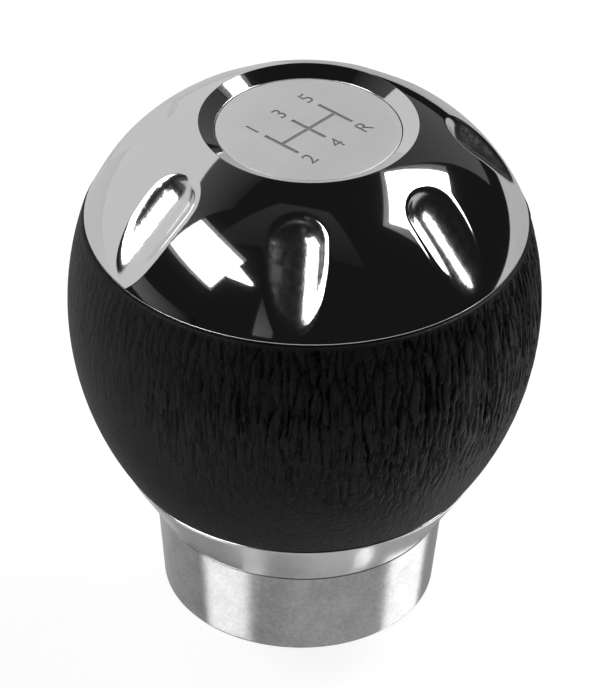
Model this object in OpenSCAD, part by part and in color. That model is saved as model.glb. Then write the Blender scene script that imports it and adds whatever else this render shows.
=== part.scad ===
// Gear shift knob: a leather-covered grip under a fluted chrome cap, on a hub
// that grub screws clamp to the lever, with a collar that screws up over them.
// Millimetres, +Z along the lever, origin at the centre of the collar's foot.

/* [Grip] */
// Widest diameter of the leather
grip_d = 50; // [46:0.5:56]
// Height of the leather between the trim ring and the cap
grip_h = 29.2; // [27:0.1:33]
// Height of the widest point above the trim ring
belly_h = 18.9; // [16:0.1:21]
// Radius of the grip's side curve
grip_arc_r = 34; // [30:0.5:50]
// Thickness of the leather
leather_t = 1.2; // [0.8:0.1:1.6]
// Width of the leather turned in under the cap
head_fold_w = 2.4; // [2:0.1:3]
// Width of the leather turned in over the trim ring
foot_fold_w = 3.7; // [3:0.1:4.2]

/* [Cap] */
// Height of the cap above the leather
cap_h = 11.8; // [10.5:0.1:13.5]
// Radius of the dome's side curve
cap_arc_r = 21.3; // [19:0.1:26]
// Wall of the cap, also behind the flutes
cap_wall = 2; // [1.5:0.1:2.4]
// How far the rim stands inside the leather's face
rim_step_w = 0.1; // [0:0.05:0.3]
// Thickness of the spigot that centres the cap in the core
spigot_t = 1.8; // [1.4:0.1:2.2]
// Depth of the core's head recess, which the spigot enters
recess_h = 2.8; // [2:0.1:4]

/* [Flutes] */
// Number of flutes round the dome
flute_count = 7; // [3:1:9]
// Diameter of the ball-nosed cutter that makes a flute
flute_d = 8.2; // [7:0.1:9]
// Slope of a flute's floor below horizontal, in degrees
flute_tilt = 42.5; // [40:0.5:44]
// Distance of the ball's centre inside the rim
flute_inset = 4.5; // [4.2:0.1:4.9]
// Depth of the ball's centre below the cap's top
flute_drop = 1.35; // [1:0.05:1.6]

/* [Badge disc] */
// Diameter of the plain disc in the cap's top
badge_d = 19.2; // [17:0.2:21]
// Thickness of the disc
badge_t = 0.8; // [0.6:0.1:1.2]
// Thickness of the adhesive pad under it
pad_t = 0.3; // [0.2:0.05:0.6]
// Width of the bevel round the disc
bevel_w = 1.65; // [1.2:0.05:2]
// Depth of the bevel
bevel_h = 0.85; // [0.5:0.05:1.2]

/* [Trim ring] */
// Height of the flared ring
ring_h = 6.5; // [5.6:0.1:8]
// Height of the narrow land under the leather
land_h = 0.3; // [0.2:0.1:0.6]
// Thickness of the web between hub and core
web_t = 2; // [1.5:0.1:2.5]

/* [Collar] */
// Height of the collar
collar_h = 10.4; // [9.6:0.1:13]
// Diameter at its foot
collar_foot_d = 29.4; // [28.6:0.1:31]
// Thickness of its wall at the foot, outside the thread
collar_wall = 2.2; // [1.9:0.1:2.4]
// How much wider its radius is at the top, where it meets the trim ring
collar_flare_w = 0.9; // [0.5:0.1:1.4]
// Thickness of its bottom lip
collar_lip_t = 1.6; // [1.2:0.1:2]
// Width of the lip inside the thread, round the opening for the lever
collar_lip_w = 2.3; // [1.6:0.1:2.6]
// Chamfer of its edges
collar_edge = 0.3; // [0.2:0.05:0.5]

/* [Hub] */
// Thickness of the hub's flange
flange_t = 2; // [1.5:0.1:2.5]
// Diameter of the stem in the core
stem_d = 20; // [19:0.1:21]
// Width of the stem across its two flats
stem_flat_w = 18; // [17.4:0.1:18.6]
// Solid length over the lever's end, tapped for the cap screw
crown_t = 6; // [5:0.1:7]

/* [Lever socket] */
// Diameter of the lever
lever_d = 12; // [11:0.1:12.6]
// Wall of the split bush
bush_wall = 1; // [0.8:0.05:1.2]
// Width of the bush's slit
slit_w = 1.5; // [1:0.1:2.5]
// Thickness of the bush's lip
bush_lip_t = 1; // [0.8:0.1:1.4]

/* [Core] */
// Wall round the hub's stem
core_tube_t = 2.9; // [2.4:0.1:3.2]
// Thickness of the core over the stem
core_head_t = 3.6; // [3:0.1:5]
// Thickness of the core's floor
core_floor_t = 3; // [2:0.1:4]
// Ledge under the cap's spigot, inside it
core_ledge_w = 1.1; // [0.8:0.1:1.4]
// Number of ribs between tube and outer wall
rib_count = 6; // [3:1:9]
// Thickness of a rib
rib_t = 2; // [1.5:0.1:2.5]

/* [Seal ring] */
// Section diameter of the ring in the collar's top groove
seal_d = 1.4; // [1.2:0.05:1.5]

/* [Fasteners] */
// Diameter of a grub screw
grub_d = 6; // [5:0.5:6]
// How far a grub screw sits below the thread
grub_sink = 0.5; // [0.4:0.1:0.8]
// Diameter of the cap screw
screw_d = 5; // [4:0.5:5.5]
// Diameter of its head
screw_head_d = 8.5; // [8:0.1:9]
// Height of its head
screw_head_h = 2.8; // [2.4:0.1:3]
// Length of the cap screw's hold in the hub
screw_hold = 5; // [4:0.1:5]
// Thickness of the spring washer
washer_t = 1.1; // [0.8:0.1:1.4]
// Diameter of the boss round the cap screw
boss_d = 13; // [12.5:0.1:14]
// Diameter of a locating peg
peg_d = 1.4; // [1:0.1:1.6]
// Length of a locating peg
peg_h = 2; // [1.5:0.1:3]

/* [Hidden] */
$fn = 120;

// Clearances
fit = 0.05;        // between parts that turn, slide or screw together
assembly = 0.1;    // round parts that only locate each other
collar_rest = 0.4; // between the collar's lip and the hub's foot
mouth_gap = 0.7;   // between the bush's lip and the collar's mouth
lever_end = 2;     // bush's end below the socket's end
cut = 1;           // overrun of a cutting solid
facing = -90;      // direction of the first flute and grub screw: the driver
peg_count = 3;     // locating pegs round the spigot
grub_count = 3;    // grub screws round the hub

// Levels, from the collar's foot up
hub_foot_z = collar_lip_t + collar_rest;
flange_top_z = collar_h + flange_t;
web_top_z = flange_top_z + web_t;
ring_top_z = collar_h + ring_h;
belly_z = ring_top_z + belly_h;
rim_z = ring_top_z + grip_h;
core_head_z = rim_z - leather_t - fit - recess_h;
stem_top_z = core_head_z - core_head_t - 2 * assembly;
socket_top_z = stem_top_z - crown_t;
top_z = rim_z + cap_h;
badge_top_z = top_z - bevel_h;
pad_z = badge_top_z - badge_t - pad_t;
screw_seat_z = pad_z - assembly - screw_head_h - washer_t;

// Radii
grip_r = grip_d / 2;
thread_r = collar_foot_d / 2 - collar_wall;
mouth_r = thread_r - collar_lip_w;
stem_r = stem_d / 2;
bush_r = lever_d / 2 + bush_wall;
socket_r = bush_r + fit;
flange_r = thread_r + seal_d + 2 * assembly;
ring_foot_r = collar_foot_d / 2 + collar_flare_w;
foot_spigot_r = grip_at(ring_top_z) - foot_fold_w - assembly;
head_fold_r = grip_at(rim_z) - head_fold_w;
rim_r = grip_at(rim_z) - rim_step_w;
spigot_r = head_fold_r - 2 * assembly;
spigot_bore_r = spigot_r - spigot_t;
pocket_r = spigot_bore_r - core_ledge_w;
badge_pocket_r = badge_d / 2 + assembly;
bevel_r = badge_pocket_r + bevel_w;
dome_centre = arc_centre([rim_r, rim_z], [bevel_r, top_z], cap_arc_r);

// Radius of the leather's face at height z
function grip_at(z) = grip_r - grip_arc_r + sqrt(pow(grip_arc_r, 2) - pow(z - belly_z, 2));

// Centre of the arc of radius r that runs from p up to q and bulges outwards
function arc_centre(p, q, r) =
    let (half = norm(q - p) / 2, inward = [p[1] - q[1], q[0] - p[0]] / norm(q - p))
    (p + q) / 2 + sqrt(r * r - half * half) * inward;

// Half section of the grip, set in from the leather's face
module grip_section(inset) {
    intersection() {
        translate([grip_r - grip_arc_r, belly_z]) circle(r = grip_arc_r - inset, $fn = 360);
        translate([0, ring_top_z + inset]) square([grip_r, grip_h - 2 * inset]);
    }
}

// Half section under the dome, from the rim up to a height
module dome_section(inset, height) {
    intersection() {
        translate(dome_centre) circle(r = cap_arc_r - inset, $fn = 240);
        translate([0, rim_z]) square([rim_r, height]);
    }
}

// Copies of a solid, evenly round the axis
module around(count, first = facing) {
    for (i = [0:count - 1]) rotate(first + 360 * i / count) children();
}

// The ball-nosed scoop of one flute, grown by the wall for its inner side
module flute(grow = 0) {
    translate([rim_r - flute_inset, 0, top_z - flute_drop]) rotate([0, 90 + flute_tilt, 0]) {
        sphere(d = flute_d + 2 * grow);
        cylinder(h = 3 * flute_inset, d = flute_d + 2 * grow);
    }
}

// Hollow of the cap: the dome's inside less the flutes' backs and the screw boss
module cap_hollow() {
    difference() {
        rotate_extrude() intersection() {
            union() {
                dome_section(cap_wall, pad_z - cap_wall - rim_z);
                translate([0, core_head_z - peg_h]) square([spigot_bore_r, rim_z + cut - core_head_z + peg_h]);
            }
            translate([0, core_head_z - peg_h]) square([spigot_bore_r, cap_h + grip_h]);
        }
        around(flute_count) flute(cap_wall);
        translate([0, 0, core_head_z]) cylinder(h = cap_h + grip_h, d = boss_d);
    }
}

// Fluted dome with its badge recess, screw boss, spigot and pegs
module chrome_cap() {
    color("gainsboro") difference() {
        union() {
            rotate_extrude() {
                dome_section(0, cap_h);
                translate([0, core_head_z]) square([spigot_r, rim_z + cut - core_head_z]);
            }
            around(peg_count, facing + 180 / peg_count) translate([spigot_r - spigot_t / 2, 0, core_head_z - peg_h])
                cylinder(h = peg_h + cut, d = peg_d);
        }
        cap_hollow();
        around(flute_count) flute();
        translate([0, 0, badge_top_z]) cylinder(h = bevel_h, r1 = badge_pocket_r, r2 = bevel_r);
        translate([0, 0, pad_z]) cylinder(h = cap_h, r = badge_pocket_r);
        translate([0, 0, screw_seat_z]) cylinder(h = cap_h, d = screw_head_d + 4 * assembly);
        translate([0, 0, core_head_z - cut]) cylinder(h = cap_h + grip_h, d = screw_d + 4 * assembly);
    }
}

// Plain disc in the cap's top
module badge_disc() {
    color("silver") translate([0, 0, pad_z + pad_t]) cylinder(h = badge_t, d = badge_d);
}

// Adhesive pad that holds the disc, cut back from its edge
module badge_pad() {
    color("white") translate([0, 0, pad_z]) cylinder(h = pad_t, d = badge_d - 10 * assembly);
}

// Screw that draws the cap, core and trim ring onto the hub
module cap_screw() {
    seat = screw_seat_z + washer_t;
    socket_h = screw_head_h / 2;
    color("dimgray") difference() {
        union() {
            translate([0, 0, seat]) cylinder(h = screw_head_h, d = screw_head_d);
            translate([0, 0, stem_top_z - screw_hold]) cylinder(h = seat - stem_top_z + screw_hold, d = screw_d);
        }
        translate([0, 0, seat + screw_head_h - socket_h]) cylinder(h = socket_h + cut, d = screw_d * 0.7, $fn = 6);
    }
}

// Split ring under the cap screw's head
module spring_washer() {
    color("gray") translate([0, 0, screw_seat_z]) difference() {
        cylinder(h = washer_t, d = screw_head_d - assembly);
        translate([0, 0, -cut]) cylinder(h = washer_t + 2 * cut, d = screw_d + 2 * assembly);
        translate([0, -washer_t / 4, -cut]) cube([screw_head_d, washer_t / 2, washer_t + 2 * cut]);
    }
}

// Leather sleeve, its edges turned in over both ends of the core
module leather_cover() {
    color([0.09, 0.08, 0.08]) rotate_extrude() difference() {
        grip_section(0);
        grip_section(leather_t);
        translate([0, ring_top_z - cut]) square([foot_spigot_r + assembly, grip_h / 2]);
        translate([0, belly_z]) square([head_fold_r, grip_h]);
    }
}

// Pockets that keep the moulding's walls even, with ribs between them
module core_pockets() {
    floor_z = ring_top_z + leather_t + core_floor_t;
    difference() {
        translate([0, 0, floor_z]) cylinder(h = core_head_z - floor_z + cut, r = pocket_r);
        cylinder(h = top_z, r = stem_r + core_tube_t);
        around(rib_count) translate([0, -rib_t / 2, 0]) cube([grip_r, rib_t, top_z]);
    }
}

// Outline of the hub's stem, round with two flats
module stem(height, gap = 0) {
    intersection() {
        cylinder(h = height, r = stem_r + gap);
        translate([-stem_flat_w / 2 - gap, -stem_d, 0]) cube([stem_flat_w + 2 * gap, 2 * stem_d, height]);
    }
}

// Moulded body that gives the leather its shape
module core() {
    color("darkslategray") difference() {
        rotate_extrude() {
            difference() {
                grip_section(leather_t + fit);
                translate([0, core_head_z]) square([spigot_r + assembly, grip_h]);
            }
            translate([0, web_top_z]) square([foot_spigot_r, ring_top_z + leather_t + cut - web_top_z]);
        }
        translate([0, 0, web_top_z - cut]) stem(stem_top_z + 2 * assembly - web_top_z + cut, assembly);
        translate([0, 0, stem_top_z]) cylinder(h = grip_h, d = screw_d + 4 * assembly);
        core_pockets();
        around(peg_count, facing + 180 / peg_count) translate([spigot_r - spigot_t / 2, 0, core_head_z - peg_h - assembly])
            cylinder(h = peg_h + cut, d = peg_d + 2 * assembly);
    }
}

// Flared ring between collar and leather, clamped by the hub's flange
module trim_ring() {
    color("lightgray") rotate_extrude() polygon([
        [stem_r + assembly, flange_top_z],
        [flange_r + fit, flange_top_z],
        [flange_r + fit, collar_h],
        [ring_foot_r, collar_h],
        [grip_at(ring_top_z), ring_top_z - land_h],
        [grip_at(ring_top_z), ring_top_z],
        [foot_spigot_r + assembly, ring_top_z],
        [foot_spigot_r + assembly, web_top_z],
        [stem_r + assembly, web_top_z]
    ]);
}

// Metal insert: threaded neck, flange and stem, bored for the lever's bush
module hub() {
    neck_edge = 2 * collar_edge;
    color("darkgray") difference() {
        union() {
            rotate_extrude() polygon([
                [0, hub_foot_z],
                [thread_r - neck_edge, hub_foot_z],
                [thread_r, hub_foot_z + neck_edge],
                [thread_r, collar_h],
                [flange_r, collar_h],
                [flange_r, flange_top_z],
                [0, flange_top_z]
            ]);
            translate([0, 0, flange_top_z - cut]) stem(stem_top_z - flange_top_z + cut);
        }
        translate([0, 0, hub_foot_z - cut]) cylinder(h = socket_top_z - hub_foot_z + cut, r = socket_r);
        translate([0, 0, socket_top_z - cut]) cylinder(h = crown_t + 2 * cut, d = screw_d + 2 * fit);
        around(grub_count) grub_axis() cylinder(h = 2 * thread_r, d = grub_d + 2 * fit);
    }
}

// Split sleeve that fits the lever's diameter to the hub
module adaptor_bush() {
    lip_z = hub_foot_z - bush_lip_t;
    color("ivory") difference() {
        union() {
            translate([0, 0, lip_z]) cylinder(h = bush_lip_t, r = mouth_r - mouth_gap);
            translate([0, 0, lip_z]) cylinder(h = socket_top_z - lever_end - lip_z, r = bush_r);
        }
        translate([0, 0, lip_z - cut]) cylinder(h = socket_top_z, d = lever_d);
        translate([-slit_w / 2, 0, lip_z - cut]) cube([slit_w, 2 * mouth_r, socket_top_z]);
    }
}

// Axis of a grub screw's hole, from the lever's axis outwards along +Z
module grub_axis() {
    translate([0, 0, (hub_foot_z + collar_h) / 2]) rotate([0, 90, 0]) children();
}

// One grub screw, its tip on the bush and its hexagon socket outwards
module grub_screw(index) {
    length = thread_r - grub_sink - socket_r;
    point = grub_d / 6;
    color("black") rotate(facing + 360 / grub_count * (index - 1)) grub_axis() translate([0, 0, socket_r]) difference() {
        union() {
            cylinder(h = point, d1 = grub_d - 2 * point, d2 = grub_d);
            translate([0, 0, point]) cylinder(h = length - point, d = grub_d);
        }
        translate([0, 0, length / 2]) cylinder(h = length, d = grub_d / sqrt(3), $fn = 6);
    }
}

// Rubber ring in the collar's top groove, which keeps the collar from working loose
module seal_ring() {
    color([0.15, 0.15, 0.15]) rotate_extrude()
        translate([thread_r + seal_d / 2 + assembly, collar_h - seal_d / 2 - fit]) circle(d = seal_d);
}

// Tapered collar that screws up over the grub screws
module collar() {
    groove_z = collar_h - seal_d - 2 * fit;
    foot_r = collar_foot_d / 2;
    color("silver") rotate_extrude() polygon([
        [mouth_r, collar_edge],
        [mouth_r + collar_edge, 0],
        [foot_r - collar_edge, 0],
        [foot_r, collar_edge],
        [ring_foot_r, collar_h - collar_edge],
        [ring_foot_r - collar_edge, collar_h],
        [flange_r, collar_h],
        [flange_r, groove_z],
        [thread_r + fit, groove_z],
        [thread_r + fit, collar_lip_t],
        [mouth_r, collar_lip_t]
    ]);
}

chrome_cap();
badge_disc();
badge_pad();
cap_screw();
spring_washer();
leather_cover();
core();
trim_ring();
hub();
adaptor_bush();
grub_screw(1);  // grub_screw_1
grub_screw(2);  // grub_screw_2
grub_screw(3);  // grub_screw_3
seal_ring();
collar();
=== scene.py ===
# %% [markdown]
# A gear knob in chrome, leather and aluminium
#
# This notebook dresses a gear shift knob whose construction is already fixed: every piece is in the frame
# that the first cell loads, at its real size, in metres, with +Z up the lever and -Y towards the driver.
# What is left is the look. Four finishes carry it: mirror chrome, black leather, turned aluminium and a
# satin disc.

# %% The frame
import math
import bmesh
import bpy
import numpy as np
from mathutils import Matrix, Vector, noise
from mathutils.kdtree import KDTree


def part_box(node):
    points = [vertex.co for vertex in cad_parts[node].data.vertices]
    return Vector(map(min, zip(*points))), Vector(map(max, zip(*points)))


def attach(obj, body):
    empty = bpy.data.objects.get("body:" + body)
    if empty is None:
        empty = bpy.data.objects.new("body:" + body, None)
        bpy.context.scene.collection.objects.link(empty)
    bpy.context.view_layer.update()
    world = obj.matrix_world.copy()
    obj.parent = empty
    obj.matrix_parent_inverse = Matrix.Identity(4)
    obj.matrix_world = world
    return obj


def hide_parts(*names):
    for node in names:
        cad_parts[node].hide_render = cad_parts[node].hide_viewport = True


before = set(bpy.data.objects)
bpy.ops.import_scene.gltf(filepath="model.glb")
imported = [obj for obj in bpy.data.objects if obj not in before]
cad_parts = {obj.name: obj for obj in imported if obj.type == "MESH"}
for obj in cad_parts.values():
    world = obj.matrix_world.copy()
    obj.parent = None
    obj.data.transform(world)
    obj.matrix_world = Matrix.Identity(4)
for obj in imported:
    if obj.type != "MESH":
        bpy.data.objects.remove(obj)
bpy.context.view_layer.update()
MM = 0.001
TOUCHING = 0.001 * MM
print("nodes:", ", ".join(sorted(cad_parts)))

# %% [markdown]
# Camera
#
# The photograph was taken from a little under 36 degrees above, from 0.45 m away, with a long lens. The
# knob leans right by just over a degree in it, so the camera is rolled by the same angle.

# %% Camera
TURN = math.radians(-48.65)
LIFT = math.radians(35.65)
ROLL = math.radians(1.35)
DISTANCE = 450 * MM
AIM_HEIGHT = 30.12 * MM
LENS_MM = 221.6
SENSOR_MM = 36
SHIFT = (-0.0052, -0.0030)


def add_camera():
    """The camera at the photograph's angle, aimed at a point on the lever's axis."""
    back = Vector((math.sin(TURN) * math.cos(LIFT), -math.cos(TURN) * math.cos(LIFT), math.sin(LIFT)))
    level = Vector((math.cos(TURN), math.sin(TURN), 0))
    upright = back.cross(level)
    right = level * math.cos(ROLL) + upright * math.sin(ROLL)
    up = upright * math.cos(ROLL) - level * math.sin(ROLL)
    data = bpy.data.cameras.new("camera")
    data.lens = LENS_MM
    data.sensor_width = SENSOR_MM
    data.shift_x, data.shift_y = SHIFT
    camera = bpy.data.objects.new("camera", data)
    turn = Matrix((right, up, back)).transposed().to_4x4()
    camera.matrix_world = Matrix.Translation(Vector((0, 0, AIM_HEIGHT)) + back * DISTANCE) @ turn
    bpy.context.scene.collection.objects.link(camera)
    bpy.context.scene.camera = camera


add_camera()
print("camera", round(DISTANCE * 1000), "mm away,", LENS_MM, "mm lens")

# %% [markdown]
# Shader maths
#
# A material is a graph of nodes, but its maths reads better as an expression. The class Signal wraps a
# socket, and adding or multiplying two of them adds the Math node that does it. Every other node comes
# from Graph.add, which takes the node's type, its settings and what goes into its sockets.

# %% Shader maths
class Signal:
    """A number that a shader works out, wrapped so that Python's operators add Math nodes."""

    def __init__(self, graph, socket):
        self.graph = graph
        self.socket = socket

    def math(self, operation, *others):
        values = {0: self, **dict(enumerate(others, 1))}
        node = self.graph.add("ShaderNodeMath", {"operation": operation}, values)
        return Signal(self.graph, node.outputs[0])

    def __add__(self, other):
        return self.math("ADD", other)

    def __sub__(self, other):
        return self.math("SUBTRACT", other)

    def __rsub__(self, other):
        return self.math("MULTIPLY", -1).math("ADD", other)

    def __mul__(self, other):
        return self.math("MULTIPLY", other)

    def clamp(self):
        return self.math("MAXIMUM", 0.0).math("MINIMUM", 1.0)

    def ramp(self, low, high):
        """0 at low, 1 at high, smooth between them."""
        node = self.graph.add("ShaderNodeMapRange", {"interpolation_type": "SMOOTHSTEP"},
                              {"Value": self, "From Min": low, "From Max": high})
        return Signal(self.graph, node.outputs["Result"])


class Graph:
    """The nodes of one material, with its Principled shader."""

    def __init__(self, name, **sockets):
        self.material = bpy.data.materials.new(name)
        self.material.use_nodes = True
        self.nodes = self.material.node_tree.nodes
        self.links = self.material.node_tree.links
        self.shader = self.nodes["Principled BSDF"]
        self.fill(self.shader, {key.replace("_", " ").title(): value for key, value in sockets.items()})

    def fill(self, node, values):
        for key, value in values.items():
            value = getattr(value, "socket", value)
            if isinstance(value, bpy.types.NodeSocket):
                self.links.new(value, node.inputs[key])
            else:
                node.inputs[key].default_value = value

    def add(self, kind, settings=None, values=None):
        node = self.nodes.new(kind)
        for key, value in (settings or {}).items():
            setattr(node, key, value)
        self.fill(node, values or {})
        return node

    def place(self):
        """Object coordinates, in metres."""
        return self.add("ShaderNodeTexCoord").outputs["Object"]

    def stretched(self, scale):
        """Object coordinates with a factor on each axis."""
        values = {"Vector": self.place(), "Scale": scale}
        return self.add("ShaderNodeMapping", {"vector_type": "POINT"}, values).outputs["Vector"]

    def noise(self, vector, scale, detail=3.0, roughness=0.5):
        values = {"Vector": vector, "Scale": scale, "Detail": detail, "Roughness": roughness}
        return Signal(self, self.add("ShaderNodeTexNoise", None, values).outputs["Fac"])

    def cells(self, vector, scale):
        """The distance to the middle of the cell that a point lies in."""
        node = self.add("ShaderNodeTexVoronoi", {"feature": "F1"}, {"Vector": vector, "Scale": scale})
        return Signal(self, node.outputs["Distance"])

    def attribute(self, name):
        """A number that the mesh gives for each of its points."""
        node = self.add("ShaderNodeAttribute", {"attribute_name": name})
        return Signal(self, node.outputs["Fac"])

    def tint(self, factor, low, high):
        """A colour that goes from low to high as factor goes from 0 to 1."""
        values = {0: factor, 6: (*low, 1), 7: (*high, 1)}
        return self.add("ShaderNodeMix", {"data_type": "RGBA"}, values).outputs[2]

    def bump(self, height, distance):
        """A normal tilted by a height from 0 to 1, which stands for that distance in metres."""
        values = {"Height": height, "Distance": distance, "Strength": 1.0}
        return self.add("ShaderNodeBump", None, values).outputs["Normal"]

    def show(self, shader):
        """Makes a shader other than the Principled one the material's surface."""
        self.links.new(shader.outputs[0], self.nodes["Material Output"].inputs["Surface"])


print("shader helpers ready")

# %% [markdown]
# Studio
#
# Chrome has no colour of its own: it shows the room. The photographer's room was dark, with one window of
# light on each side and a pale wall on the left, over a pale, slightly glossy table. Each of these is a
# card here, placed by the direction it lies in as seen from the knob, and some of them fade out on one
# side, as light on a wall does. The cards light the knob and show in the chrome, but the camera doesn't see
# them, so the picture keeps its white background from every side. The table lies just low enough for the
# collar to screw down to its end above it.

# %% Studio
TABLE_DROP = 7.7 * MM
TABLE_RADIUS = 0.62
TABLE_SHINE = 0.89
TABLE_SHADE = 0.2
TABLE_TONE = 0.7
TABLE_GLOSS = 0.2
ROOM_RADIUS = 3.0
ROOM_GLOW = 0.015
CAP_HEIGHT = 45 * MM
DAYLIGHT = (1.0, 0.995, 0.985)


def direction(azimuth, elevation):
    """A direction from the knob, its azimuth in degrees counted to the right from the camera's."""
    angle = TURN - math.pi / 2 + math.radians(azimuth)
    level = math.cos(math.radians(elevation))
    return Vector((math.cos(angle) * level, math.sin(angle) * level, math.sin(math.radians(elevation))))


def glow(name, colour, strength):
    """A material that only shines, as far as the mesh's fade lets it."""
    graph = Graph(name)
    shade = graph.tint(graph.attribute("fade"), (0, 0, 0), colour)
    graph.show(graph.add("ShaderNodeEmission", None, {"Color": shade, "Strength": strength}))
    return graph.material


def new_object(name, mesh, material):
    """A Blender object at the origin from a bmesh."""
    data = bpy.data.meshes.new(name)
    mesh.to_mesh(data)
    mesh.free()
    data.materials.append(material)
    piece = bpy.data.objects.new(name, data)
    bpy.context.scene.collection.objects.link(piece)
    return piece


def set_values(data, name, values):
    """Gives each point of a mesh a number that its material can read."""
    data.attributes.new(name, "FLOAT", "POINT").data.foreach_set("value", values)


def put_on_stage(name, mesh, material, fade=None):
    """Adds a piece of the studio, which isn't part of the knob. What shines is hidden from the camera."""
    piece = new_object(name, mesh, material)
    if fade:
        set_values(piece.data, "fade", fade)
        piece.visible_camera = False


def window(name, corners, strength, distance=1.2, fade=(1, 1, 1, 1)):
    """A flat card that shines, its corners in the given directions, fading towards some of them."""
    mesh = bmesh.new()
    cap = Vector((0, 0, CAP_HEIGHT))
    mesh.faces.new([mesh.verts.new(direction(*corner) * distance + cap) for corner in corners])
    put_on_stage(name, mesh, glow(name, DAYLIGHT, strength), fade)


def add_table():
    """A pale round table top, matt to the camera and slightly glossy in reflections."""
    mesh = bmesh.new()
    low = Matrix.Translation((0, 0, -TABLE_DROP))
    bmesh.ops.create_circle(mesh, cap_ends=True, radius=TABLE_RADIUS, segments=96, matrix=low)
    graph = Graph("table")
    by_camera = graph.add("ShaderNodeLightPath").outputs["Is Camera Ray"]
    fill = graph.add("ShaderNodeEmission", None, {"Color": (1, 1, 1, 1), "Strength": TABLE_SHINE})
    shade = graph.add("ShaderNodeBsdfDiffuse", None, {"Color": (*[TABLE_SHADE] * 3, 1)})
    seen = graph.add("ShaderNodeAddShader", None, {0: shade.outputs[0], 1: fill.outputs[0]})
    matt = graph.add("ShaderNodeBsdfDiffuse", None, {"Color": (*[TABLE_TONE] * 3, 1)})
    gloss = graph.add("ShaderNodeBsdfGlossy", None, {"Color": (1, 1, 1, 1), "Roughness": 0.06})
    glossy = graph.add("ShaderNodeMixShader", None,
                       {0: TABLE_GLOSS, 1: matt.outputs[0], 2: gloss.outputs[0]})
    graph.show(graph.add("ShaderNodeMixShader", None,
                         {0: by_camera, 1: glossy.outputs[0], 2: seen.outputs[0]}))
    put_on_stage("table", mesh, graph.material)


def add_dark_room():
    """A large dark shell, which the camera looks through."""
    mesh = bmesh.new()
    bmesh.ops.create_uvsphere(mesh, u_segments=32, v_segments=16, radius=ROOM_RADIUS)
    walls = glow("dark_room", (0.6, 0.6, 0.62), ROOM_GLOW)
    put_on_stage("dark_room", mesh, walls, [1] * len(mesh.verts))


def set_world():
    """White where nothing stands before it, to the camera and in reflections."""
    world = bpy.data.worlds.new("white")
    world.use_nodes = True
    bpy.context.scene.world = world
    nodes, links = world.node_tree.nodes, world.node_tree.links
    rays = nodes.new("ShaderNodeLightPath").outputs
    shown = rays["Is Camera Ray"]
    for ray in ("Is Glossy Ray", "Is Transmission Ray"):
        either = nodes.new("ShaderNodeMath")
        either.operation = "MAXIMUM"
        links.new(shown, either.inputs[0])
        links.new(rays[ray], either.inputs[1])
        shown = either.outputs[0]
    nodes["Background"].inputs["Color"].default_value = (1, 1, 1, 1)
    links.new(shown, nodes["Background"].inputs["Strength"])


window("left_window", [(-86, 29.5), (-52, 28), (-43, 47), (-88, 47)], 7.0)
window("left_window_frame", [(-88, 27), (-51, 26.5), (-42, 49), (-89, 49)], 0.2, 1.5)
window("curtain_gap", [(-47, 37), (-31, 37.5), (-31, 38.5), (-44, 44)], 7.0, 1.1)
window("right_window", [(88, 29), (130, 29), (134, 56), (82, 56)], 7.0)
window("right_window_frame", [(80, 28), (134, 28), (137, 57), (77, 58)], 0.25, 1.6, (0.2, 0.6, 0.6, 1))
window("back_room", [(136, 4), (184, 4), (184, 62), (136, 62)], 0.09, 1.7, (1, 1, 0.2, 0.2))
window("left_wall", [(-93, -6), (-178, -6), (-178, 40), (-93, 40)], 0.63, 0.9)
window("wall_above", [(-90, 36), (-178, 36), (-178, 62), (-90, 62)], 0.075, 1.5, (1, 1, 0.2, 0.2))
window("ceiling", [(-70, 46), (40, 46), (60, 80), (-90, 80)], 0.03, 1.7, (0.6, 0.4, 1, 1))
window("camera_stand", [(-24, 12), (-15, 12), (-10, 34), (-23, 34)], 0.11, 0.7, (1, 0.7, 0, 0.2))
window("floor_by_the_wall", [(-90, 1), (-52, 1), (-52, 9), (-90, 9)], 0.12, 0.7, (1, 0.1, 0, 0.6))
add_table()
add_dark_room()
set_world()
bpy.context.scene.view_settings.view_transform = "Standard"
print("studio set")

# %% [markdown]
# Turned outlines
#
# Nearly everything here was turned, moulded or cast round one axis. So one helper makes them all: it takes
# the half section as a list of corners, rounds each corner by its own small radius, and spins the result
# once round. Real metal has no razor edges, and it is those small rounds that catch the light. The helper
# also works out which way the surface faces at each point and gives that to the mesh, so that a mirror
# finish shows no facets.

# %% Turned outlines
WELD = 0.0001 * MM
ON_FACE = 0.01 * MM
ROUNDING_STEPS = 5
MOST_SECTORS = 20


def arc_centre(low, high, radius):
    """Centre of the arc that runs up from low to high and bulges outwards."""
    low, high = Vector(low), Vector(high)
    chord = high - low
    inward = Vector((-chord.y, chord.x)).normalized()
    return (low + high) / 2 + inward * math.sqrt(radius ** 2 - (chord.length / 2) ** 2)


def arc_points(centre, start, end, spacing, ends=0.0):
    """Points along an arc. A short stretch stays free at its ends, so that they can be rounded."""
    centre, start, end = Vector(centre), Vector(start), Vector(end)
    radius = (start - centre).length
    first = math.atan2(*(start - centre).yx)
    last = math.atan2(*(end - centre).yx)
    sign = 1 if last > first else -1
    trim = sign * ends / radius
    count = max(2, round(abs(last - first) * radius / spacing))
    angles = [first + trim + (last - first - 2 * trim) * i / count for i in range(count + 1)]
    points = [centre + Vector((math.cos(a), math.sin(a))) * radius for a in angles]
    return [(*point, 0.0) for point in points]


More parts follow.
